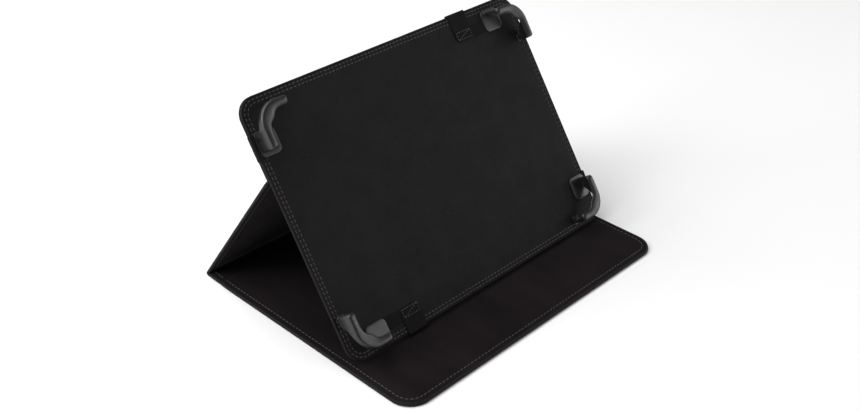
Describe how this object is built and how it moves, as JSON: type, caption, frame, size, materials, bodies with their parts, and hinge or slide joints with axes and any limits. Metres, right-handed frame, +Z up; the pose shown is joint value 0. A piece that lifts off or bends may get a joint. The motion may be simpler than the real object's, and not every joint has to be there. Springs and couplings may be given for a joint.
{
  "type": "tablet case",
  "caption": "Folio case for a 10.1 inch tablet, open as a reading stand: flat front cover, spine, folding rear leg and a holder panel with rubber corner grips on elastic straps.",
  "frame": {"origin": "on the table under the middle of the case's bounding box", "axes": "+X along the folds (reader's right), +Y away from the reader, +Z up"},
  "size_m": [0.274, 0.2206, 0.1675],
  "materials": {
    "leatherette": "fine-grained matte leatherette",
    "lining": "brushed microfibre, matte",
    "stiffener_board": "grey board, edges covered",
    "fold_web": "flexible leatherette web",
    "elastic_webbing": "ribbed elastic webbing",
    "grip_rubber": "soft-touch satin rubber"
  },
  "bodies": {
    "front_cover": {"front_cover_skin": "leatherette", "front_cover_board": "stiffener_board", "front_cover_lining": "lining", "front_fold_web": "fold_web"},
    "spine": {"spine_skin": "leatherette", "spine_board": "stiffener_board", "spine_lining": "lining", "rear_fold_web": "fold_web"},
    "rear_leg": {"leg_skin": "leatherette", "leg_board": "stiffener_board", "leg_lining": "lining", "top_fold_web": "fold_web"},
    "holder": {"holder_face": "leatherette", "holder_board": "stiffener_board", "holder_back_skin": "leatherette", "upper_back_board": "stiffener_board", "upper_back_skin": "leatherette", "strap_top_left": "elastic_webbing", "strap_top_right": "elastic_webbing", "strap_bottom_right": "elastic_webbing", "strap_bottom_left": "elastic_webbing", "strap_patch_bottom_right": "leatherette", "strap_patch_bottom_left": "leatherette"},
    "grip_top_left": {"corner_grip_top_left": "grip_rubber"},
    "grip_top_right": {"corner_grip_top_right": "grip_rubber"},
    "grip_bottom_right": {"corner_grip_bottom_right": "grip_rubber"},
    "grip_bottom_left": {"corner_grip_bottom_left": "grip_rubber"}
  },
  "joints": [
    {"name": "front_fold", "type": "hinge", "parent": "front_cover", "child": "spine", "pos_m": [0, 0.0919, 0.0012], "axis": [1, 0, 0], "range_deg": [-90, 0]},
    {"name": "rear_fold", "type": "hinge", "parent": "spine", "child": "rear_leg", "pos_m": [0, 0.1091, 0.0012], "axis": [1, 0, 0], "range_deg": [-33, 12]},
    {"name": "top_fold", "type": "hinge", "parent": "rear_leg", "child": "holder", "pos_m": [0, 0.02473, 0.11719], "axis": [1, 0, 0], "range_deg": [-25, 68.5]},
    {"name": "grip_top_left_stretch", "type": "slide", "parent": "holder", "child": "grip_top_left", "axis": [-0.7071, 0.3985, 0.5841], "range_m": [0, 0.005], "stiffness_N_per_m": 400},
    {"name": "grip_top_right_stretch", "type": "slide", "parent": "holder", "child": "grip_top_right", "axis": [0.7071, 0.3985, 0.5841], "range_m": [0, 0.005], "stiffness_N_per_m": 400},
    {"name": "grip_bottom_right_stretch", "type": "slide", "parent": "holder", "child": "grip_bottom_right", "axis": [0.7071, -0.3985, -0.5841], "range_m": [0, 0.005], "stiffness_N_per_m": 400},
    {"name": "grip_bottom_left_stretch", "type": "slide", "parent": "holder", "child": "grip_bottom_left", "axis": [-0.7071, -0.3985, -0.5841], "range_m": [0, 0.005], "stiffness_N_per_m": 400}
  ],
  "couplings": [
    {"joint": "top_fold", "follows": "rear_fold", "ratio": -2.0736}
  ]
}
